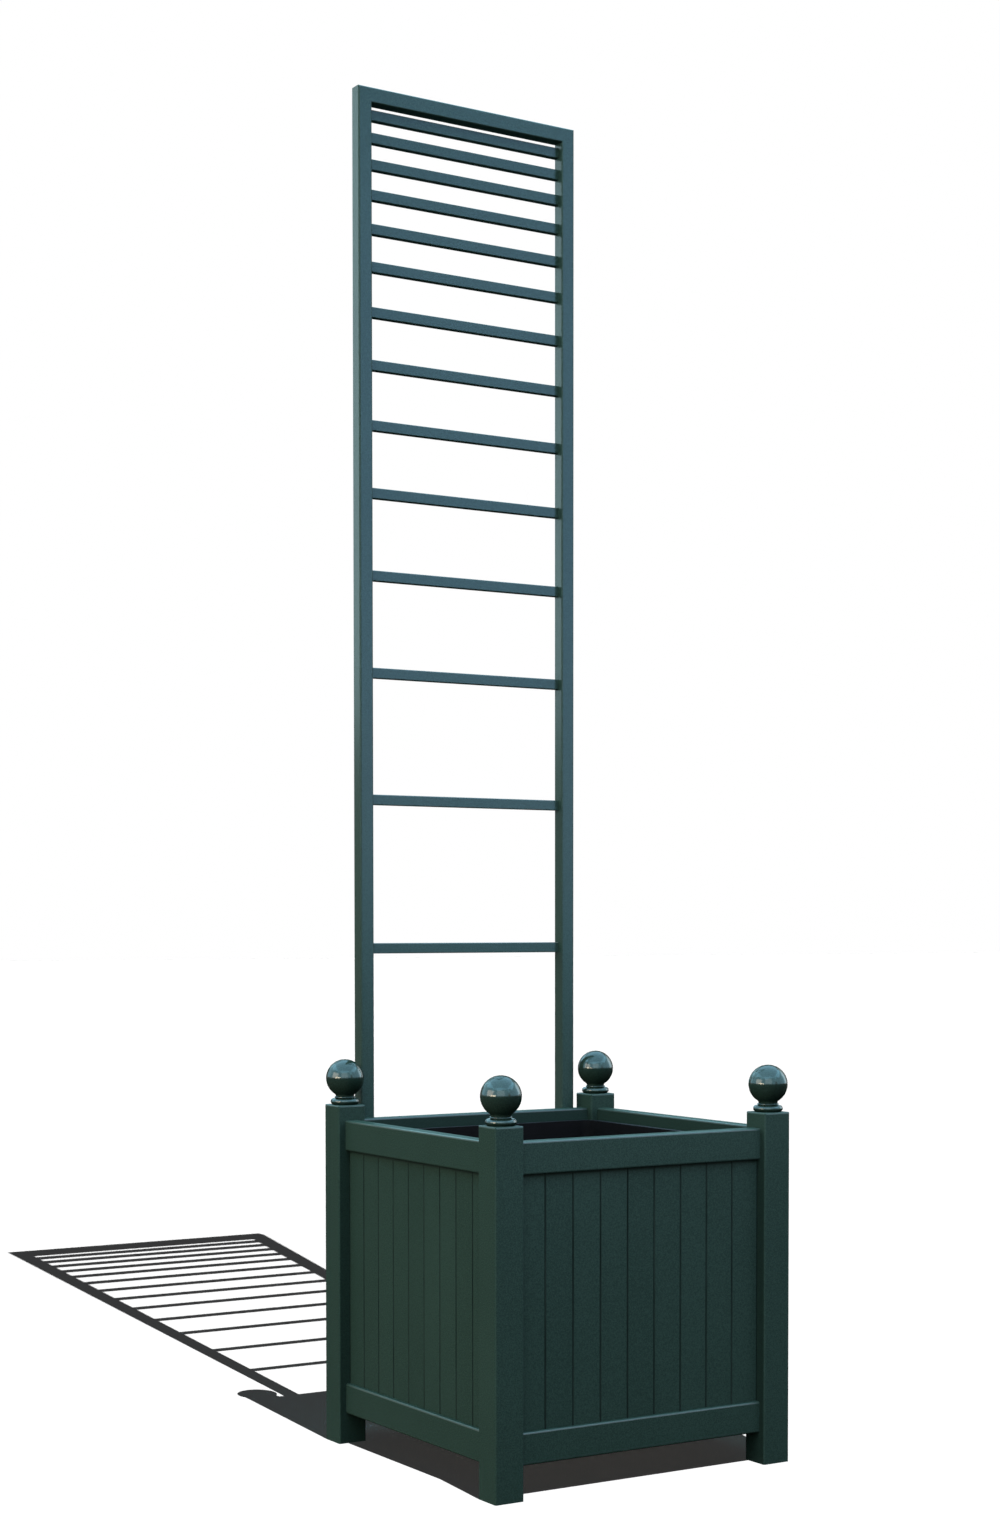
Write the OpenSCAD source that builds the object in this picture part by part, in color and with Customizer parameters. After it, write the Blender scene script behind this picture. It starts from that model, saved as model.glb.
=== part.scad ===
// Square garden planter with ball finials and a ladder trellis on its back.
// The posts and rails are painted timber, joined by mitred tenons, with boards let into grooves.
// Sizes are in millimetres. +X runs along the front, +Y points at the trellis and +Z is up.
// The origin is on the ground, at the middle of the footprint of box and trellis together.

/* [Posts] */
// Width of the box over its posts
box_w = 440; // [380:5:640]
// Depth of the box over its posts
box_d = 440; // [380:5:640]
// Height of the posts
post_h = 450; // [360:5:640]
// Side of the square posts
post_side = 40; // [38:1:56]
// Radius along the rounded edges of posts and rails
edge_r = 2.5; // [1:0.25:3.5]

/* [Rails] */
// Height of a rail
rail_h = 40; // [34:1:60]
// Thickness of a rail
rail_t = 20; // [16:1:26]
// Drop from the post tops to the top rails
rail_drop = 20; // [8:1:60]
// Clear height under the bottom rails
rail_lift = 40; // [20:1:80]
// Thickness of the tenons on the rail ends
tenon_t = 10; // [7:0.5:11]
// Shoulder above and below each tenon
tenon_shoulder = 5; // [3:0.5:8]

/* [Boards] */
// Boards in each side of the box
board_count = 9; // [6:1:12]
// Thickness of a board
board_t = 8; // [7:0.5:12]
// Depth that the boards stand in the rail grooves
board_let_in = 7; // [4:0.5:9]
// Depth that the outer boards stand in the post grooves
board_side_let_in = 4; // [2:0.5:5]
// Length of the tongue on a board
tongue_l = 3.5; // [2:0.25:5]
// Thickness of the tongue on a board
tongue_t = 2.6; // [2:0.2:3]
// Gap left between neighbouring boards
board_gap = 0.5; // [0.3:0.1:1.2]
// Chamfer that makes the V joint between boards
board_chamfer = 0.8; // [0.3:0.1:1.5]

/* [Floor] */
// Slats in the floor
slat_count = 7; // [5:1:9]
// Thickness of a slat
slat_t = 12; // [9:1:16]
// Gap between slats
slat_gap = 8; // [4:1:14]
// Side of the square bearers under the slats
bearer_side = 20; // [16:1:22]
// Drop from the top of the bottom rails to the slats
floor_drop = 4; // [2:1:6]
// Play at the ends of the slats and bearers
floor_play = 2; // [1:0.5:4]

/* [Finials] */
// Diameter of the ball
ball_d = 50; // [40:1:60]
// Height of the ball's centre above the post
ball_z = 35; // [34:0.5:44]
// Diameter of the neck under the ball
neck_d = 24.5; // [20:0.5:28]
// Diameter over the round base moulding
base_d = 38; // [34:0.2:40]
// Thickness of the round base moulding
base_t = 8.2; // [6:0.2:9]
// Diameter of the dowel that holds a finial
dowel_d = 8; // [6:0.5:10]
// Wood left between a dowel and the tenons under it
dowel_clear = 3; // [1:0.5:8]

/* [Trellis] */
// Height of the trellis above the ground
trellis_h = 1800; // [1700:10:2100]
// Clearance from the stiles to the posts
trellis_clear = 10; // [2:1:40]
// Side of the square stiles and the top bar
stile_side = 20; // [18:0.5:26]
// Radius along the edges of the stiles
stile_r = 2; // [0.5:0.25:3]
// Height of a rung
rung_h = 14; // [12:0.5:16]
// Depth of a rung from front to back
rung_t = 10; // [8:0.5:11]
// Radius along the edges of a rung
rung_r = 1; // [0.5:0.25:2]
// Length of rung that is housed in each stile
rung_let_in = 12; // [8:0.5:14]
// Clear gap between the top bar and the highest rung
top_gap = 6; // [4:1:20]
// Pitch of the two highest rungs, from which the spacing grows downwards
rung_pitch = 30; // [27:0.5:31]

/* [Liner] */
// Clearance from the liner's rim to the posts
liner_clear = 3; // [2:0.5:8]
// Drop from the top of the rails to the liner's rim
liner_drop = 15; // [8:1:40]
// Draft of the liner's walls from rim to floor
liner_draft = 8; // [2:1:14]
// Thickness of the liner's walls
liner_wall = 2.5; // [2:0.25:4]
// Width of the liner's turned-down rim
rim_w = 7; // [6:0.5:10]
// Depth of the rim's turned-down edge
rim_drop = 11; // [7:1:20]
// Outer corner radius of the liner's rim
liner_r = 24; // [18:1:40]
// Diameter of the drain holes
drain_d = 12; // [8:1:16]

/* [Screws] */
// Diameter of the screws that hold the trellis and the bearers
screw_d = 4; // [3:0.5:4.5]
// Length of the screws that hold the trellis
trellis_screw_l = 34; // [28:1:36]
// Length of the screws that hold the bearers
bearer_screw_l = 32; // [26:1:34]
// Diameter of the screws in the slats and rungs
small_screw_d = 3; // [2.5:0.5:3.5]
// Length of the slat screws
slat_screw_l = 25; // [20:1:28]
// Length of the rung screws
rung_screw_l = 16; // [13:1:17]

/* [Fits] */
// Clearance around tenons, tongues, dowels and screws
fit = 0.1; // [0.05:0.05:0.2]
// Gap at the end of a tenon, a tongue or a groove
end_gap = 0.5; // [0.3:0.1:1]

/* [Hidden] */
$fn = 64;
eps = 0.01;
paint = [0.14, 0.22, 0.21];
bare_wood = [0.62, 0.50, 0.36];
black_plastic = [0.06, 0.06, 0.07];
steel = [0.70, 0.71, 0.73];

rail_set_back = (post_side - rail_t) / 2;
// The trellis reaches further back than the balls do in front, which sets the box off the origin
front_reach = max(box_d / 2, (box_d - post_side + ball_d) / 2);
back_reach = max(box_d / 2 - rail_set_back + stile_side, front_reach);
box_y = (front_reach - back_reach) / 2;
top_rail_z = post_h - rail_drop - rail_h;
top_rail_top = top_rail_z + rail_h;
bottom_rail_top = rail_lift + rail_h;
groove_depth = board_let_in + end_gap;
// Wood left between a tenon and the groove under it
tenon_root = 1;
tenon_z = [groove_depth + tenon_root, rail_h - tenon_shoulder];
groove_w = board_t + 2 * fit;
board_z = [bottom_rail_top - board_let_in, top_rail_z + board_let_in];

slat_top = bottom_rail_top - floor_drop;
bearer_top = slat_top - slat_t;
rail_inner_x = box_w / 2 - rail_set_back - rail_t;
floor_d = box_d - 2 * (post_side + floor_play);
slat_w = (floor_d - (slat_count - 1) * slat_gap) / slat_count;
slat_pitch = slat_w + slat_gap;
slat_l = 2 * (rail_inner_x - floor_play);

stile_y = box_y + box_d / 2 - rail_set_back;
stile_back = stile_y + stile_side;
trellis_w = box_w - 2 * (post_side + trellis_clear);
stile_x = (trellis_w - stile_side) / 2;
// Steps between rung centres from the top rung down, in sixths of the pitch
rung_steps = [6, 7, 8, 9, 10, 12, 14, 16, 18, 22, 26, 34, 40];
top_rung_z = trellis_h - stile_side - top_gap - rung_h / 2;
function step_sum(n) = n == 0 ? 0 : rung_steps[n - 1] + step_sum(n - 1);
function rung_z(i) = top_rung_z - rung_pitch / rung_steps[0] * step_sum(i);
rung_l = trellis_w - 2 * stile_side + 2 * rung_let_in;
stile_screw_z = [for (z = [rail_lift, top_rail_z], k = [0.3, 0.7]) z + k * rail_h];

liner_top = top_rail_top - liner_drop;
rim_size = [box_w, box_d] - 2 * (post_side + liner_clear) * [1, 1];
tub_top = rim_size - 2 * rim_w * [1, 1];
tub_floor = tub_top - 2 * liner_draft * [1, 1];

// Helpers for stock that is cut to a section

module section(w, h, r) {
    square([w - 2 * r, h], center = true);
    square([w, h - 2 * r], center = true);
    for (x = [-1, 1], y = [-1, 1])
        translate([x * (w / 2 - r), y * (h / 2 - r)]) circle(r);
}

// Bar along X, centred on X and on its section
module bar_x(l, t, h, r) {
    rotate([90, 0, 90]) translate([0, 0, -l / 2]) linear_extrude(l) section(t, h, r);
}

module bar_z(w, t, l, r) {
    linear_extrude(l) section(w, t, r);
}

// Flat outline drawn in X and Z, given its thickness along Y
module in_xz(t) {
    rotate([90, 0, 0]) linear_extrude(t, center = true) children();
}

module both_x() {
    for (m = [0, 1]) mirror([m, 0, 0]) children();
}

// Swaps X and Y, so that a post's second inner face gets the cuts of its first
module both_inner_faces() {
    children();
    mirror([1, -1, 0]) children();
}

// Countersunk screw along -Z with its head flush at the origin
module screw(d, l) {
    difference() {
        union() {
            translate([0, 0, -d / 2]) cylinder(h = d / 2, r1 = d / 2, r2 = d);
            translate([0, 0, d - l]) cylinder(h = l - d, r = d / 2);
            translate([0, 0, -l]) cylinder(h = d, r1 = d / 8, r2 = d / 2);
        }
        for (a = [45, 135]) rotate(a) cube([1.3 * d, d / 4, d / 2], center = true);
    }
}

module screw_hole(d, l) {
    slack = 1.5 * fit;
    translate([0, 0, -d / 2]) cylinder(h = d / 2 + eps, r1 = d / 2 + slack, r2 = d + slack);
    translate([0, 0, -l - end_gap]) cylinder(h = l + end_gap + eps, r = d / 2 + fit);
}

// Places that follow the box

// Sides run anticlockwise from the front: 0 front, 1 right, 2 back, 3 left. +Y points into the box.
module on_side(side) {
    depth = side % 2 == 0 ? box_d : box_w;
    translate([0, box_y, 0]) rotate(90 * side) translate([0, -(depth - post_side) / 2, 0]) children();
}

function side_l(side) = (side % 2 == 0 ? box_w : box_d) - 2 * post_side;

// Corners run anticlockwise from the front left. +X and +Y point into the box.
module at_corner(corner) {
    sx = [-1, 1, 1, -1][corner];
    sy = [-1, -1, 1, 1][corner];
    translate([sx * (box_w - post_side) / 2, box_y + sy * (box_d - post_side) / 2, 0])
        rotate(90 * corner) children();
}

// Posts, with an arris round the top and a flat foot

module top_rounding() {
    reach = post_side + 2;
    for (a = [0:90:270])
        rotate(a) translate([post_side / 2 - edge_r, 0, post_h - edge_r]) difference() {
            translate([0, -reach / 2, 0]) cube([edge_r + 1, reach, edge_r + 1]);
            rotate([90, 0, 0]) cylinder(r = edge_r, h = reach + 1, center = true);
        }
}

// Mortise for one rail, open to the post's +X face. The two meet at the post's middle.
module mortise(z0, z1) {
    back = tenon_t / 2 + fit;
    translate([-back, -back, z0 - fit]) cube([post_side / 2 + back + 1, 2 * back, z1 - z0 + 2 * fit]);
}

module board_slot() {
    depth = board_side_let_in + end_gap;
    translate([post_side / 2 - depth, -groove_w / 2, board_z[0] - end_gap])
        cube([depth + 1, groove_w, board_z[1] - board_z[0] + 2 * end_gap]);
}

module post(corner) {
    color(paint) at_corner(corner) difference() {
        bar_z(post_side, post_side, post_h, edge_r);
        top_rounding();
        both_inner_faces() {
            mortise(top_rail_z + tenon_z[0], top_rail_z + tenon_z[1]);
            mortise(bottom_rail_top - tenon_z[1], bottom_rail_top - tenon_z[0]);
            board_slot();
        }
        translate([0, 0, post_h - dowel_in_post - end_gap])
            cylinder(h = dowel_in_post + 1, r = dowel_d / 2 + fit);
    }
}

// Finials, turned in one piece and held by a dowel

ball_r = ball_d / 2;
neck_r = neck_d / 2;
base_r = base_t / 2;
base_mid_r = base_d / 2 - base_r;
bead_r = 1;
bead_mid_r = neck_r + bead_r / 2;
// A fine groove parts the bead from the base moulding
bead_groove = 0.5;
bead_z = base_t + bead_groove + bead_r;
// A cove leads from the neck into the ball. It is cut a little deep, which leaves it clean edges.
cove_r = 3;
cove_bite = 0.05;
cove_z = ball_z - sqrt(pow(ball_r + cove_r, 2) - pow(neck_r + cove_r, 2));
cove_end_r = (neck_r + cove_r) * ball_r / (ball_r + cove_r);
cove_end_z = ball_z - sqrt(pow(ball_r, 2) - pow(cove_end_r, 2));
// Length of dowel above the lowest point of the ball
dowel_in_ball = 10;
dowel_in_finial = ball_z - ball_r + dowel_in_ball;
dowel_in_post = rail_drop + tenon_shoulder - dowel_clear;

module ring(r_mid, r_ring, z) {
    rotate_extrude() translate([r_mid, z]) circle(r_ring);
}

module cove() {
    difference() {
        translate([0, 0, cove_z]) cylinder(h = cove_end_z - cove_z, r = cove_end_r);
        ring(neck_r + cove_r, cove_r + cove_bite, cove_z);
    }
}

module finial(corner) {
    color(paint) at_corner(corner) translate([0, 0, post_h]) difference() {
        union() {
            ring(base_mid_r, base_r, base_r);
            cylinder(h = base_t, r = base_mid_r);
            ring(bead_mid_r, bead_r, bead_z);
            cylinder(h = bead_z, r = bead_mid_r);
            cylinder(h = ball_z, r = neck_r);
            cove();
            translate([0, 0, ball_z]) sphere(ball_r);
        }
        translate([0, 0, -1]) cylinder(h = dowel_in_finial + end_gap + 1, r = dowel_d / 2 + fit);
    }
}

module finial_dowels() {
    color(bare_wood) for (corner = [0:3])
        at_corner(corner) translate([0, 0, post_h - dowel_in_post])
            cylinder(h = dowel_in_post + dowel_in_finial, d = dowel_d);
}

// Rails, grooved for the boards, with tenons mitred to meet inside the posts

// Plan of the tenon at the +X end, measured from its shoulder
module tenon_plan() {
    half = tenon_t / 2;
    reach = post_side / 2 - end_gap;
    polygon([[-1, -half], [reach + half, -half], [reach - half, half], [-1, half]]);
}

module top_rail(side) {
    l = side_l(side);
    color(paint) difference() {
        on_side(side) translate([0, 0, top_rail_z]) rail(l);
        if (side == 2) trellis_screw_holes();
    }
}

module bottom_rail(side) {
    l = side_l(side);
    color(paint) difference() {
        on_side(side) translate([0, 0, bottom_rail_top]) mirror([0, 0, 1]) rail(l);
        if (side == 2) trellis_screw_holes();
        if (side % 2 == 1) bearer_screw_holes();
    }
}

// Rail with its groove along the underside
module rail(l) {
    difference() {
        translate([0, 0, rail_h / 2]) bar_x(l, rail_t, rail_h, edge_r);
        translate([-l / 2 - 1, -groove_w / 2, -1]) cube([l + 2, groove_w, groove_depth + 1]);
    }
    both_x() translate([l / 2, 0, tenon_z[0]]) linear_extrude(tenon_z[1] - tenon_z[0]) tenon_plan();
}

// Boards, tongued on one edge and grooved on the other, loose enough to swell

function plain_edge(x, out) = [[x + out, -board_t / 2], [x + out, board_t / 2]];

function groove_edge(x) =
    let (d = tongue_l + end_gap, w = tongue_t / 2 + fit)
    [[x + board_chamfer, -board_t / 2], [x, board_chamfer - board_t / 2],
     [x, -w], [x + d, -w], [x + d, w], [x, w], [x, board_t / 2]];

function tongue_edge(x) =
    let (w = tongue_t / 2)
    [[x - board_chamfer, -board_t / 2], [x, board_chamfer - board_t / 2],
     [x, -w], [x + tongue_l, -w], [x + tongue_l, w], [x, w], [x, board_t / 2]];

function reversed(list) = [for (i = [len(list) - 1:-1:0]) list[i]];

module boards(side) {
    l = side_l(side);
    pitch = l / board_count;
    color(paint) on_side(side) for (i = [0:board_count - 1]) {
        x0 = -l / 2 + i * pitch + board_gap / 2;
        x1 = -l / 2 + (i + 1) * pitch - board_gap / 2;
        first = i == 0;
        last = i == board_count - 1;
        near = first ? plain_edge(-l / 2, -board_side_let_in) : groove_edge(x0);
        far = last ? plain_edge(l / 2, board_side_let_in) : tongue_edge(x1);
        translate([0, 0, board_z[0]]) linear_extrude(board_z[1] - board_z[0])
            polygon(concat(near, reversed(far)));
    }
}

// Floor: two bearers on the side rails, with slats across them

bearer_x = rail_inner_x - bearer_side / 2;
bearer_screw_z = bearer_top - bearer_side / 2;
function slat_y(i) = box_y + (i - (slat_count - 1) / 2) * slat_pitch;
// The bearer screws stand between slats, clear of the slat screws
bearer_screw_y = [for (i = [1, floor(slat_count / 2), slat_count - 1]) slat_y(i - 0.5)];

module at_bearer_screws() {
    for (y = bearer_screw_y)
        both_x() translate([bearer_x - bearer_side / 2, y, bearer_screw_z]) rotate([0, -90, 0]) children();
}

module at_slat_screws() {
    for (i = [0:slat_count - 1]) both_x() translate([bearer_x, slat_y(i), slat_top]) children();
}

module bearer_screw_holes() {
    at_bearer_screws() screw_hole(screw_d, bearer_screw_l);
}

module bearer(sx) {
    color(bare_wood) difference() {
        translate([sx * bearer_x - bearer_side / 2, box_y - floor_d / 2, bearer_top - bearer_side])
            cube([bearer_side, floor_d, bearer_side]);
        bearer_screw_holes();
        at_slat_screws() screw_hole(small_screw_d, slat_screw_l);
    }
}

module floor_slats() {
    color(bare_wood) difference() {
        for (i = [0:slat_count - 1])
            translate([-slat_l / 2, slat_y(i) - slat_w / 2, bearer_top]) cube([slat_l, slat_w, slat_t]);
        at_slat_screws() screw_hole(small_screw_d, slat_screw_l);
    }
}

module bearer_screws() {
    color(steel) at_bearer_screws() screw(screw_d, bearer_screw_l);
}

module slat_screws() {
    color(steel) at_slat_screws() screw(small_screw_d, slat_screw_l);
}

// Liner: a drafted tub with a turned-down rim, which lifts out of the box

// The corners draw in by this much from rim to floor
liner_r_draft = 2;
drain_pitch = tub_floor / 3.4;

// Solid block with rounded corners that narrows from z1 down to z0
module tub_block(size0, size1, r0, r1, z0, z1) {
    hull() {
        for (sx = [-1, 1], sy = [-1, 1]) {
            translate([sx * (size0[0] / 2 - r0), sy * (size0[1] / 2 - r0), z0])
                cylinder(h = eps, r = r0, $fn = 32);
            translate([sx * (size1[0] / 2 - r1), sy * (size1[1] / 2 - r1), z1 - eps])
                cylinder(h = eps, r = r1, $fn = 32);
        }
    }
}

module liner() {
    walls = 2 * liner_wall * [1, 1];
    r_top = liner_r - rim_w;
    r_floor = r_top - liner_r_draft;
    color(black_plastic) translate([0, box_y, 0]) difference() {
        union() {
            tub_block(tub_floor, tub_top, r_floor, r_top, slat_top, liner_top);
            translate([0, 0, liner_top - rim_drop]) linear_extrude(rim_drop)
                section(rim_size[0], rim_size[1], liner_r);
        }
        // Space between the wall and the turned-down edge
        difference() {
            translate([0, 0, liner_top - rim_drop - 1]) linear_extrude(rim_drop + 1 - liner_wall)
                section(rim_size[0] - walls[0], rim_size[1] - walls[1], liner_r - liner_wall);
            tub_block(tub_floor, tub_top, r_floor, r_top, slat_top - 1, liner_top);
        }
        tub_block(tub_floor - walls, tub_top - walls, r_floor - liner_wall, r_top - liner_wall,
                  slat_top + liner_wall, liner_top + 1);
        for (i = [-1:1], j = [-1:1])
            translate([i * drain_pitch[0], j * drain_pitch[1], slat_top - 1])
                cylinder(h = liner_wall + 2, d = drain_d);
    }
}

// Trellis: mitred frame, with its rungs housed in the backs of the stiles

mitre = trellis_w / 2 - stile_side;
key_side = 0.6 * stile_side;
key_t = 4;

// Triangle beyond the mitre line at the +X corner: above it for the stile, below it for the top bar
module mitre_waste(above) {
    x = [mitre - 1, mitre + stile_side + 1];
    z = [trellis_h - stile_side - 1, trellis_h + 1];
    spare = above ? [x[0], z[1]] : [x[1], z[0]];
    translate([0, stile_y + stile_side / 2, 0]) in_xz(stile_side + 2)
        polygon([[x[0], z[0]], [x[1], z[1]], spare]);
}

module mitre_key(slack) {
    translate([stile_x, stile_y + stile_side / 2, trellis_h - stile_side / 2]) rotate([0, 45, 0])
        cube([key_side, key_t, key_side] + 2 * slack * [1, 1, 1], center = true);
}

module at_rung_screws() {
    for (i = [0:len(rung_steps)])
        both_x() translate([mitre + rung_let_in / 2, stile_back, rung_z(i)]) rotate([-90, 0, 0]) children();
}

module at_trellis_screws() {
    for (z = stile_screw_z) both_x() translate([stile_x, stile_back, z]) rotate([-90, 0, 0]) children();
}

module trellis_screw_holes() {
    at_trellis_screws() screw_hole(screw_d, trellis_screw_l);
}

module stile_right() {
    color(paint) difference() {
        translate([stile_x, stile_y + stile_side / 2, rail_lift])
            bar_z(stile_side, stile_side, trellis_h - rail_lift, stile_r);
        for (i = [0:len(rung_steps)])
            translate([mitre - 1, stile_back - rung_t - fit, rung_z(i) - rung_h / 2 - fit])
                cube([rung_let_in + end_gap + 1, rung_t + fit + 1, rung_h + 2 * fit]);
        mitre_waste(true);
        mitre_key(fit);
        at_rung_screws() screw_hole(small_screw_d, rung_screw_l);
        trellis_screw_holes();
    }
}

module stile_left() {
    mirror([1, 0, 0]) stile_right();
}

module top_bar() {
    color(paint) difference() {
        translate([0, stile_y + stile_side / 2, trellis_h - stile_side / 2])
            bar_x(trellis_w, stile_side, stile_side, stile_r);
        both_x() mitre_waste(false);
        both_x() mitre_key(fit);
    }
}

module mitre_keys() {
    color(bare_wood) both_x() mitre_key(0);
}

// Rungs are numbered from the ground up
module rung(n) {
    i = len(rung_steps) + 1 - n;
    color(paint) difference() {
        translate([0, stile_back - rung_t / 2, rung_z(i)]) bar_x(rung_l, rung_t, rung_h, rung_r);
        at_rung_screws() screw_hole(small_screw_d, rung_screw_l);
    }
}

module rung_screws() {
    color(steel) at_rung_screws() screw(small_screw_d, rung_screw_l);
}

module trellis_screws() {
    color(steel) at_trellis_screws() screw(screw_d, trellis_screw_l);
}

post(0);  // post_front_left
post(1);  // post_front_right
post(2);  // post_back_right
post(3);  // post_back_left
finial(0);  // finial_front_left
finial(1);  // finial_front_right
finial(2);  // finial_back_right
finial(3);  // finial_back_left
finial_dowels();
top_rail(0);  // top_rail_front
top_rail(1);  // top_rail_right
top_rail(2);  // top_rail_back
top_rail(3);  // top_rail_left
bottom_rail(0);  // bottom_rail_front
bottom_rail(1);  // bottom_rail_right
bottom_rail(2);  // bottom_rail_back
bottom_rail(3);  // bottom_rail_left
boards(0);  // boards_front
boards(1);  // boards_right
boards(2);  // boards_back
boards(3);  // boards_left
bearer(-1);  // bearer_left
bearer(1);  // bearer_right
bearer_screws();
floor_slats();
slat_screws();
liner();
stile_left();
stile_right();
top_bar();
mitre_keys();
rung(1);  // rung_1
rung(2);  // rung_2
rung(3);  // rung_3
rung(4);  // rung_4
rung(5);  // rung_5
rung(6);  // rung_6
rung(7);  // rung_7
rung(8);  // rung_8
rung(9);  // rung_9
rung(10);  // rung_10
rung(11);  // rung_11
rung(12);  // rung_12
rung(13);  // rung_13
rung(14);  // rung_14
rung_screws();
trellis_screws();
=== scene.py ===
import math
import bpy
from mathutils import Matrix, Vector

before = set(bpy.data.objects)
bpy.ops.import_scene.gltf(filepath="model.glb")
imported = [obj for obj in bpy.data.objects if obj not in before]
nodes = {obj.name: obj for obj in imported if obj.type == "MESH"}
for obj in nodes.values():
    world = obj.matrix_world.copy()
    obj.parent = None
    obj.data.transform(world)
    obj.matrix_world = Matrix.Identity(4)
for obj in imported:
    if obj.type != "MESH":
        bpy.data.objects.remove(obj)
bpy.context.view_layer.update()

# The camera. It stands to the left in front of the planter, a little above the box,
# and looks slightly down along the line that was fitted to the posts, rails and rungs.
picture_wide, picture_high = 1000, 1520
focal_px = 2394.5
centre_px = (550.5, 1006.65)
turn_right, tilt_down = 0.5666, 0.03468
film_mm = 36
camera = bpy.data.objects.new("camera", bpy.data.cameras.new("camera"))
bpy.context.scene.collection.objects.link(camera)
camera.location = (-1.6775, -2.6349, 0.6904)
camera.rotation_euler = (math.pi / 2 - tilt_down, 0, -turn_right)
camera.data.sensor_width = film_mm
camera.data.lens = film_mm * focal_px / picture_high
camera.data.shift_x = (picture_wide / 2 - centre_px[0]) / picture_high
camera.data.shift_y = (centre_px[1] - picture_high / 2) / picture_high
camera.data.clip_end = 200
bpy.context.scene.camera = camera
bpy.context.scene.view_settings.view_transform = "Standard"


# The studio floor, a pale matt sheet that runs out of sight. It is white where the bare bulb
# reaches it and keeps the shadow of the box and the trellis.
class Channel:
    """One output of a node tree. Arithmetic on it adds Math nodes."""

    def __init__(self, tree, socket=None):
        self.tree, self.socket = tree, socket

    def node(self, kind, settings=None, sockets=None, out=0):
        """Adds a node, sets it, fills or links its sockets, and gives one of its outputs."""
        made = self.tree.nodes.new("ShaderNode" + kind)
        for name, value in (settings or {}).items():
            setattr(made, name, value)
        for name, value in (sockets or {}).items():
            socket = made.inputs[name]
            if isinstance(value, Channel):
                self.tree.links.new(value.socket, socket)
            elif socket.type == "RGBA":
                socket.default_value = (*value, 1)
            else:
                socket.default_value = value
        return Channel(self.tree, made.outputs[out] if made.outputs else None)

    def maths(self, operation, *values):
        return self.node("Math", {"operation": operation}, dict(enumerate(values)))

    def __add__(self, other): return self.maths("ADD", self, other)
    def __radd__(self, other): return self.maths("ADD", other, self)
    def __sub__(self, other): return self.maths("SUBTRACT", self, other)
    def __rsub__(self, other): return self.maths("SUBTRACT", other, self)
    def __mul__(self, other): return self.maths("MULTIPLY", self, other)
    def __rmul__(self, other): return self.maths("MULTIPLY", other, self)
    def __truediv__(self, other): return self.maths("DIVIDE", self, other)
    def __rtruediv__(self, other): return self.maths("DIVIDE", other, self)
    def floor(self): return self.maths("FLOOR", self)
    def abs(self): return self.maths("ABSOLUTE", self)
    def max(self, other): return self.maths("MAXIMUM", self, other)

    def part(self, axis):
        """X, Y or Z of this vector, for axis 0, 1 or 2."""
        return self.node("SeparateXYZ", None, {0: self}, axis)

    def between(self, low, high):
        """0 below low and 1 above high, with a soft step."""
        limits = {"Value": self, "From Min": low, "From Max": high}
        return self.node("MapRange", {"interpolation_type": "SMOOTHSTEP"}, limits)

    def mix(self, first, second):
        """The first colour where this mask is 0, the second where it is 1."""
        # The Mix node takes its two colours in sockets 6 and 7 and gives the mixed one as output 2
        return self.node("Mix", {"data_type": "RGBA"}, {0: self, 6: first, 7: second}, 2)

    def noise(self, scale, detail, **others):
        """Cloudy pattern over this place, from 0 to 1, with about scale clouds to the metre."""
        return self.node("TexNoise", None, {"Vector": self, "Scale": scale, "Detail": detail, **others})

    def bump(self, strength, distance):
        """The normal of a surface that is raised by this height."""
        return self.node("Bump", None, {"Strength": strength, "Distance": distance, "Height": self})


def new_tree(owner):
    """Empty node tree of a material, a lamp or the world."""
    owner.use_nodes = True
    owner.node_tree.nodes.clear()
    return Channel(owner.node_tree)


def new_material(name):
    """Material and its empty node tree."""
    material = bpy.data.materials.new(name)
    return material, new_tree(material)


def seen_directly(tree):
    """1 for what the camera, a gloss or a glass shows of the studio, 0 for the light it sheds."""
    camera_ray = tree.node("LightPath", out="Is Camera Ray")
    gloss_ray = tree.node("LightPath", out="Is Glossy Ray")
    glass_ray = tree.node("LightPath", out="Is Transmission Ray")
    return camera_ray.max(gloss_ray).max(glass_ray)


floor_side = 80
paper_white, paper_sheds = (0.96, 0.96, 0.96), (0.015, 0.017, 0.017)
shadow_lift = 0.025
bpy.ops.mesh.primitive_plane_add(size=floor_side)
floor = bpy.context.active_object
floor.name = "studio_floor"
floor_paper, tree = new_material("floor paper")
paper = seen_directly(tree).mix(paper_sheds, paper_white)
paper = tree.node("BsdfDiffuse", None, {"Color": paper})
glow = tree.node("Emission", None, {"Color": (1, 1, 1), "Strength": shadow_lift})
paper = tree.node("AddShader", None, {0: paper, 1: glow})
tree.node("OutputMaterial", None, {"Surface": paper})
floor.data.materials.append(floor_paper)

# The studio light. Broad soft boxes light the planter, cool from above and in front, and a bare bulb
# lights the floor alone and draws the long shadow behind the trellis. The backdrop is white near the
# floor and pale blue higher up.
backdrop_low, backdrop_high = (1, 1, 1), (0.35, 0.66, 0.85)
air_sheds = (0.012, 0.013, 0.014)
world = bpy.data.worlds.new("studio")
bpy.context.scene.world = world
tree = new_tree(world)
height = tree.node("TexCoord", out="Generated").part(2)
backdrop = height.between(0.42, 0.85).mix(backdrop_low, backdrop_high)
air = seen_directly(tree).mix(air_sheds, backdrop)
air = tree.node("Background", None, {"Color": air, "Strength": 1.0})
tree.node("OutputWorld", None, {"Surface": air})


def lit_things(name, *things):
    """Collection that names what a lamp lights, or leaves out."""
    made = bpy.data.collections.new(name)
    for thing in things:
        made.objects.link(thing)
    return made


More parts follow.
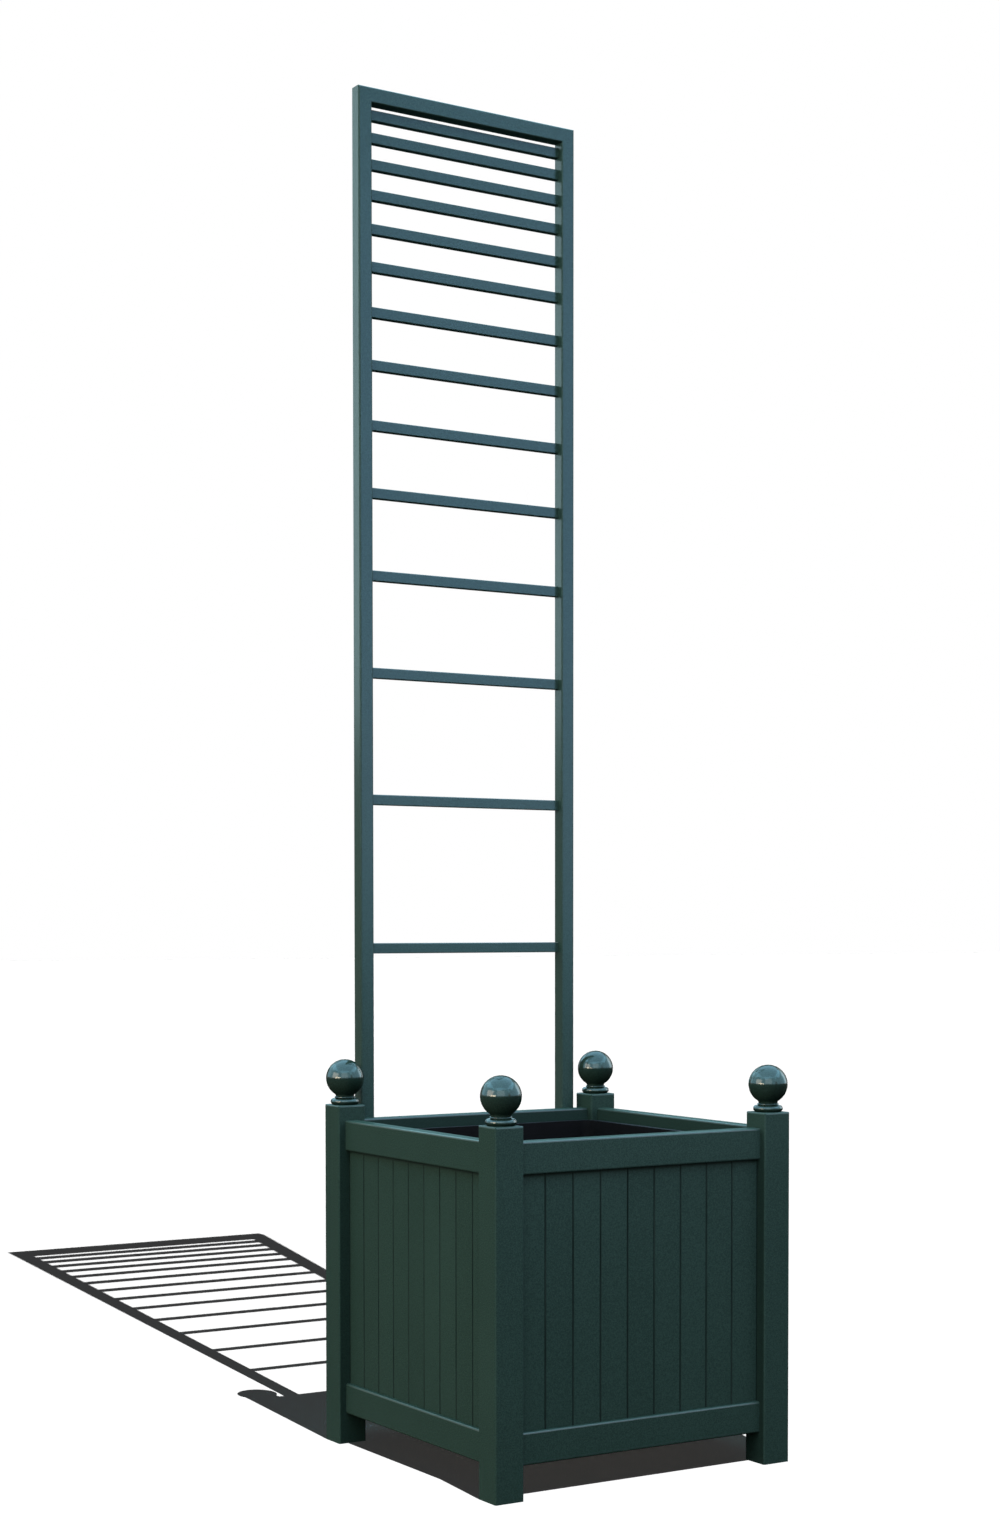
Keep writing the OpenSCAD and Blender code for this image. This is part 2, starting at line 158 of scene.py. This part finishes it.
corners = ("front_left", "front_right", "back_right", "back_left")
finials = [nodes["finial_" + corner] for corner in corners]
rung_names = [f"rung_{i}" for i in range(1, 15)]
trellis = [nodes[name] for name in ("stile_left", "stile_right", "top_bar", *rung_names)]
floor_only = lit_things("floor_only", floor)
trellis_only = lit_things("trellis_only", *trellis)
finials_only = lit_things("finials_only", *finials)
# The next two hold what is left out: the floor, or the floor and the finials
planter_only = lit_things("planter_only", floor)
flat_timber_only = lit_things("flat_timber_only", floor, *finials)
for left_out in (*planter_only.collection_objects, *flat_timber_only.collection_objects):
    left_out.light_linking.link_state = "EXCLUDE"


def lamp(name, kind, place, target, colour, energy, lights, size=None, seen_in="both"):
    """Lamp for named things alone. It shows in their gloss, in their paint's own colour, or in both."""
    data = bpy.data.lights.new(name, kind)
    data.color, data.energy = colour, energy
    if size:
        data.shape, data.size, data.size_y = "RECTANGLE", *size
    made = bpy.data.objects.new(name, data)
    bpy.context.scene.collection.objects.link(made)
    made.location = place
    made.rotation_euler = (Vector(target) - Vector(place)).to_track_quat("-Z", "Y").to_euler()
    made.light_linking.receiver_collection = lights
    made.visible_camera = False
    made.visible_diffuse, made.visible_glossy = seen_in != "gloss", seen_in != "paint"
    return made


def soft_box(name, place, target, size, colour, brightness, lights=planter_only, seen_in="both"):
    """Area lamp, with its brightness as that of its surface, where 1 is white."""
    energy = brightness * math.pi * size[0] * size[1]
    return lamp(name, "AREA", place, target, colour, energy, lights, size, seen_in)


# The bare bulb's light is made even over the whole sheet, near and far, so that only its shadow shows.
# The least slope keeps the far end of the sheet from glaring.
bulb_place, under_bulb = (-0.48, -2.575, 4.35), (-0.48, -2.575, 0)
bulb_watts, bulb_radius, least_slope = 42.0, 0.004, 0.05
bulb = lamp("bare_bulb", "POINT", bulb_place, under_bulb, (1, 1, 1), bulb_watts, floor_only)
bulb.data.shadow_soft_size = bulb_radius
tree = new_tree(bulb.data)
slope = tree.node("TexCoord", out="Normal").part(2).abs().max(least_slope)
even = tree.node("LightFalloff", None, {"Strength": 1.0}, "Constant") / slope
even = tree.node("Emission", None, {"Color": (1, 1, 1), "Strength": even})
tree.node("OutputLight", None, {"Surface": even})

# Overhead, one box lights the paint and a wider, bluer one shows in the gloss
soft_box("box_above", (0, 0, 4.2), (0, 0.001, 0.4), (6.0, 6.0), (0.63, 0.83, 1.0), 5.4, seen_in="paint")
soft_box("sky_above", (0, 0, 4.6), (0, 0.001, 0.5), (10.0, 10.0), (0.36, 0.74, 1.0), 4.6, seen_in="gloss")

# In front. The near one makes the front fade from its top to its foot.
soft_box("box_front_right", (2.4, -3.8, 2.1), (0, 0.2, 2.1), (1.8, 2.8), (0.64, 0.66, 1.0), 5.9,
         flat_timber_only, "gloss")
soft_box("box_front_near", (0, -0.87, 0.98), (0, -0.22, 0.43), (0.8, 0.5), (0.756, 0.677, 1.0), 4.1,
         flat_timber_only, "paint")
soft_box("box_front", (-2.8, -4.4, 2.4), (0, 0, 2.4), (4.0, 3.4), (0.86, 1.0, 0.98), 2.6)

# Warm from the left, and cool from the right and from behind
warm = (1.0, 0.86, 0.70)
soft_box("box_left", (-4.4, 0.2, 1.6), (0, 0, 0.6), (3.0, 2.2), warm, 7.0, seen_in="paint")
soft_box("box_right", (4.2, 0.6, 1.6), (0, 0, 0.6), (3.0, 2.6), (0.80, 0.95, 1.0), 4.0)
soft_box("box_back", (2.0, 4.2, 1.15), (0, 0, 1.15), (4.0, 1.4), (0.36, 0.80, 1.0), 4.6)
soft_box("box_back_high", (0.6, 4.4, 2.6), (0.6, 0, 2.6), (3.6, 1.5), (0.38, 0.80, 1.0), 6.0)

# What the trellis mirrors: two boxes in its front faces, one in the left sides of its stiles
# and one in their rounded edges
soft_box("trellis_front", (2.2, -3.8, 2.5), (0, 0.2, 2.5), (2.2, 2.2), (0.14, 0.56, 1.0), 9.6,
         trellis_only, "gloss")
soft_box("trellis_front_low", (2.2, -3.8, 0.9), (0, 0.2, 0.9), (2.2, 1.0), (0.22, 0.68, 1.0), 7.6,
         trellis_only, "gloss")
soft_box("trellis_back_left", (-2.37, 4.2, 2.5), (0, 0.2, 2.5), (2.2, 2.35), (0.61, 0.88, 1.0), 11.5,
         trellis_only, "gloss")
soft_box("trellis_edge", (-4.4, -2.4, 2.3), (0, 0.2, 2.3), (1.8, 3.2), (0.50, 0.86, 1.0), 12.0,
         trellis_only, "gloss")

# What the balls mirror: a blue ring of three boxes, which ends at their middles, and a warm glow
at_balls, ball_blue = (0, 0, 0.5), (0.28, 0.76, 1.0)
soft_box("finials_front", (-2.9, -4.3, 2.9), at_balls, (11.0, 5.0), ball_blue, 3.4, finials_only, "gloss")
soft_box("finials_left", (-4.2, 2.7, 2.9), at_balls, (9.0, 5.0), ball_blue, 3.4, finials_only, "gloss")
soft_box("finials_right", (4.2, -2.7, 2.9), at_balls, (9.0, 5.0), ball_blue, 3.4, finials_only, "gloss")
soft_box("finials_warm", (-4.1, 0.2, 1.55), (0, 0, 0.6), (2.8, 2.0), warm, 7.0, finials_only, "gloss")
soft_box("finials_glow", (-4.3, -1.1, 0.80), at_balls, (2.6, 0.20), (1.0, 0.86, 0.62), 85.0,
         finials_only, "gloss")

# The four posts. Each is one square length of planed softwood with rounded arrises, mortised for the
# rails and sprayed with a smooth dark blue-green satin paint before the box is put together.
deep, pale = (0.0151, 0.0320, 0.0254), (0.0254, 0.0520, 0.0417)
thin_paint = (0.040, 0.066, 0.056)
# Colour of the painted shade on the posts' inner sides
post_shade_colour = (0.0075, 0.0160, 0.0128)
post_gloss = (0.37, 0.07, 0.05)
rail_tops = 0.430


def painted(name, along, gloss, tones=(deep, pale), roughness=0.36, relief=0.30,
            arrises=True, boards=None, painted_shade=None, matt=None):
    """Satin paint over wood whose grain runs along an axis (0, 1 or 2). It was sprayed from above: gloss
    gives how wet it lies on rounded edges that look upward, on flat tops and on uprights. The functions
    for boards, for painted shade and for a matt coat add what the pieces of one section have of their own."""
    material, tree = new_material(name)
    place = tree.node("TexCoord", out="Object")
    normal = tree.node("NewGeometry", out="Normal")

    # A slow drift of the colour, orange peel and specks from the spraying, and the grain underneath
    drift = place.noise(5.0, 3.0, Roughness=0.6)
    peel = place.noise(420.0, 2.0, Roughness=0.5)
    speck = place.noise(700.0, 1.0)
    stretch = [60.0, 60.0, 60.0]
    stretch[along] = 1.6
    grain = tree.node("Mapping", None, {"Vector": place, "Scale": stretch}).noise(3.0, 4.0, Roughness=0.65)

    # The colour wanders between two near tones
    tone = drift * 0.5 + speck * 1.7 - 0.60
    if boards:
        own_tone, joint_and_shade_mask, joints_shade_colour = boards(place)
        tone = tone + own_tone
    colour = tone.between(0.0, 1.0).mix(*tones)
    # Dark joints, and painted shade under the top rail
    if boards:
        colour = joint_and_shade_mask.mix(colour, joints_shade_colour)
    if arrises:
        # Paint draws back from an arris, which dulls and lightens it a little
        faces = [normal.part(axis).abs() for axis in range(3)]
        arris = (1 - faces[0].max(faces[1]).max(faces[2])).between(0.03, 0.28)
        thin = arris * grain.between(0.3, 0.75)
        colour = (thin * 0.45).mix(colour, thin_paint)
    if painted_shade:
        # Painted shade: darker colour that a section puts where its faces lie in shade
        shade_mask, shade_colour = painted_shade(place)
        colour = shade_mask.mix(colour, shade_colour)

    # The coat is a mix of a dry and a wet layer, over one skin of orange peel and grain
    rough = roughness + peel * 0.10 - 0.05
    skin = (peel * 0.8 + grain * 0.6).bump(relief, 0.0004)
    layer = {"Base Color": colour, "Roughness": rough, "Normal": skin}
    dry = tree.node("BsdfPrincipled", None, {**layer, "Specular IOR Level": 0.0})
    wet = tree.node("BsdfPrincipled", None, {**layer, "Specular IOR Level": 0.5})
    on_edges, on_tops, on_uprights = gloss
    facing_up = normal.part(2)
    facing_down = 0 - facing_up
    looks_up, flat_top = facing_up.between(0.0, 0.12), facing_up.between(0.90, 0.985)
    upper = on_edges + flat_top * (on_tops - on_edges)
    upright = (1 - looks_up) * (1 - facing_down.between(0.1, 0.8)) * on_uprights
    wetness = looks_up * upper + upright
    if matt:
        wetness = wetness * (1 - matt(place))
    surface = tree.node("MixShader", None, {0: wetness, 1: dry, 2: wet})
    tree.node("OutputMaterial", None, {"Surface": surface})
    return material


def dress(material, slot, *names):
    """Gives CAD nodes their finish."""
    for name in names:
        nodes[name].data.materials.clear()
        nodes[name].data.materials.append(material)


def shade_beside_rails(place):
    """Painted shade on the sides of a post that look at the next one, below the tops of the rails."""
    normal = place.node("NewGeometry", out="Normal")
    inward = 0 - place.node("VectorMath", {"operation": "DOT_PRODUCT"}, {0: normal, 1: place}, "Value")
    beside_rails = 1 - place.part(2).between(rail_tops - 0.010, rail_tops + 0.004)
    return inward.between(0.05, 0.15) * beside_rails * 0.5, post_shade_colour


# The posts carry painted shade on their inner sides, beside the rails
post_paint = painted("satin paint on posts", 2, post_gloss, painted_shade=shade_beside_rails)
dress(post_paint, "painted_timber", *("post_" + corner for corner in corners))

# The rails. Eight planed lengths, tenoned into the posts, with their arrises rounded and their
# painted grain lying along each side of the box.
rail_gloss = (0.57, 0.07, 0.05)
# Colour of the painted shade on the rails' inner faces
rail_shade_colour = (0.0100, 0.0222, 0.0190)
rail_inner_face = 0.190


def shade_inside(place):
    """Painted shade on the faces that look into the box, which the box's own sides keep from the light."""
    reach = place.part(0).abs().max(place.part(1).abs())
    inside = 1 - reach.between(rail_inner_face, rail_inner_face + 0.0015)
    return inside * 0.7, rail_shade_colour


rail_paint_x = painted("satin paint on rails lying across", 0, rail_gloss, painted_shade=shade_inside)
rail_paint_y = painted("satin paint on rails lying fore and aft", 1, rail_gloss, painted_shade=shade_inside)
for level in ("top_rail_", "bottom_rail_"):
    dress(rail_paint_x, "painted_timber", level + "front", level + "back")
    dress(rail_paint_y, "painted_timber", level + "left", level + "right")

# The boards. Nine tongued and grooved boards fill each side, sprayed before they are slid into
# their grooves, so that each keeps a tone of its own.
board_tones = (0.0153, 0.0325, 0.0258), (0.0245, 0.0501, 0.0400)
tone_spread = 0.14
# Colour of the dark joints and of the painted shade under the top rail
joint_and_shade_colour = (0.0035, 0.0075, 0.0065)
board_gloss = (0.57, 0.07, 0.05)
board_pitch, boards_wide = 0.040, 0.360
chamfer, dust_reach = 0.0008, 0.0018
side_boards_middle = -0.0025
rail_underside = 0.390


def boards_across(axis, middle):
    """Boards that lie side by side along an axis, about their middle: the tone of each, the dark V joints,
    and the painted shade under the top rail."""
    def marks(place):
        across = (place.part(axis) + (boards_wide / 2 - middle)) / board_pitch
        board = across.floor()
        own_tone = (place.node("TexWhiteNoise", {"noise_dimensions": "1D"}, {"W": board}) - 0.5) * tone_spread
        from_middle = (across - board - 0.5).abs()
        joint = from_middle.between(0.5 - dust_reach / board_pitch, 0.5 - chamfer / board_pitch)
        # Painted shade under the top rail
        under_rail = place.part(2).between(rail_underside - 0.0055, rail_underside - 0.0005)
        return own_tone, joint.max(under_rail * 0.8) * 0.8, joint_and_shade_colour
    return marks


board_paint_x = painted("satin paint on front and back boards", 2, board_gloss, board_tones,
                        boards=boards_across(0, 0))
board_paint_y = painted("satin paint on side boards", 2, board_gloss, board_tones,
                        boards=boards_across(1, side_boards_middle))
dress(board_paint_x, "painted_timber", "boards_front", "boards_back")
dress(board_paint_y, "painted_timber", "boards_left", "boards_right")

# The finials. Each is turned from one block, sanded finer than the flat timber, sprayed with the same
# paint, which takes a higher gloss on the ball, and fixed to its post with a dowel.
ball_tones = (0.0100, 0.0214, 0.0170), (0.0170, 0.0347, 0.0278)
ball_gloss = (0.60, 0.60, 0.05)
rings_keep = 0.28
ball_foot = 0.464


def matt_outline(place):
    """The coat is matt where it is seen along the surface, so that the ball's outline stays dark. The
    rings below the ball keep a part of their gloss there."""
    outline = place.node("LayerWeight", None, {"Blend": 0.5}, "Facing").between(0.45, 0.85)
    on_ball = place.part(2).between(ball_foot - 0.002, ball_foot + 0.001)
    return outline * (on_ball * rings_keep + (1 - rings_keep))


ball_paint = painted("satin paint on turned finials", 2, ball_gloss, ball_tones, roughness=0.13, relief=0.15,
                     arrises=False, matt=matt_outline)
dress(ball_paint, "painted_timber", *("finial_" + corner for corner in corners))

# The trellis. Two stiles and a top bar are mitred into a frame, with fourteen rungs let into its back.
# The whole is sprayed like the box and screwed to its back rails from behind.
trellis_gloss = (0.50, 0.15, 0.15)
stile_paint = painted("satin paint on stiles", 2, trellis_gloss, roughness=0.22, relief=0.12)
rung_paint = painted("satin paint on rungs", 0, trellis_gloss, roughness=0.22, relief=0.12)
dress(stile_paint, "painted_timber", "stile_left", "stile_right")
dress(rung_paint, "painted_timber", "top_bar", *rung_names)

# The floor of the box and the hidden pegs. Slats, bearers, dowels and mitre keys are left bare,
# in planed softwood with the growth rings running along each piece.
early_wood, late_wood = (0.32, 0.27, 0.19), (0.19, 0.15, 0.10)
rings_per_wave = 9.0


def bare_wood(name, along):
    """Planed softwood whose fibres run along an axis (0, 1 or 2)."""
    material, tree = new_material(name)
    place = tree.node("TexCoord", out="Object")
    stretch = [1.0, 1.0, 1.0]
    stretch[along] = 0.06
    fibre_place = tree.node("Mapping", None, {"Vector": place, "Scale": stretch})
    growth = fibre_place.noise(60.0, 2.0, Distortion=0.6) * rings_per_wave
    rings = (growth - growth.floor()).between(0.15, 0.95)
    fibres = fibre_place.noise(900.0, 3.0)
    colour = (rings * 0.6 + fibres * 0.4).mix(early_wood, late_wood)
    surface = tree.node("BsdfPrincipled", None, {
        "Base Color": colour, "Roughness": 0.62 + fibres * 0.2,
        "Normal": (fibres + rings * 0.5).bump(0.3, 0.0004), "Specular IOR Level": 0.3})
    tree.node("OutputMaterial", None, {"Surface": surface})
    return material


slat_wood = bare_wood("bare softwood slats", 0)
bearer_wood = bare_wood("bare softwood bearers", 1)
peg_wood = bare_wood("bare softwood pegs", 2)
dress(slat_wood, "bare_timber", "floor_slats")
dress(bearer_wood, "bare_timber", "bearer_left", "bearer_right")
dress(peg_wood, "bare_timber", "finial_dowels", "mitre_keys")

# The liner. A moulded tub of matt black plastic with a turned-down rim, which lifts out of the box.
# Its skin has the fine even texture of the mould.
moulded_black, scuffed_black = (0.0022, 0.0020, 0.0022), (0.0045, 0.0042, 0.0045)
liner_plastic, tree = new_material("matt black moulded plastic")
place = tree.node("TexCoord", out="Object")
mould_texture = place.noise(1500.0, 2.0)
scuff = place.noise(22.0, 6.0, Roughness=0.7)
black = scuff.between(0.45, 0.8).mix(moulded_black, scuffed_black)
plastic = tree.node("BsdfPrincipled", None, {
    "Base Color": black, "Roughness": 0.55 + scuff * 0.2,
    "Normal": mould_texture.bump(0.35, 0.0003), "Specular IOR Level": 0.05})
tree.node("OutputMaterial", None, {"Surface": plastic})
dress(liner_plastic, "liner_plastic", "liner")

# The screws. Plain stainless countersunk screws hold the slats, bearers, rungs and trellis,
# with fine turning marks on their heads.
bright_steel, dull_steel = (0.58, 0.59, 0.61), (0.44, 0.45, 0.47)
screw_steel, tree = new_material("plain stainless steel")
place = tree.node("TexCoord", out="Object")
turning_marks = place.noise(2200.0, 3.0)
stain = place.noise(160.0, 3.0)
grey = stain.between(0.4, 0.7).mix(bright_steel, dull_steel)
steel = tree.node("BsdfPrincipled", None, {
    "Base Color": grey, "Roughness": 0.26 + turning_marks * 0.2,
    "Normal": turning_marks.bump(0.2, 0.0001), "Metallic": 1.0})
tree.node("OutputMaterial", None, {"Surface": steel})
dress(screw_steel, "screw_steel", "bearer_screws", "slat_screws", "rung_screws", "trellis_screws")
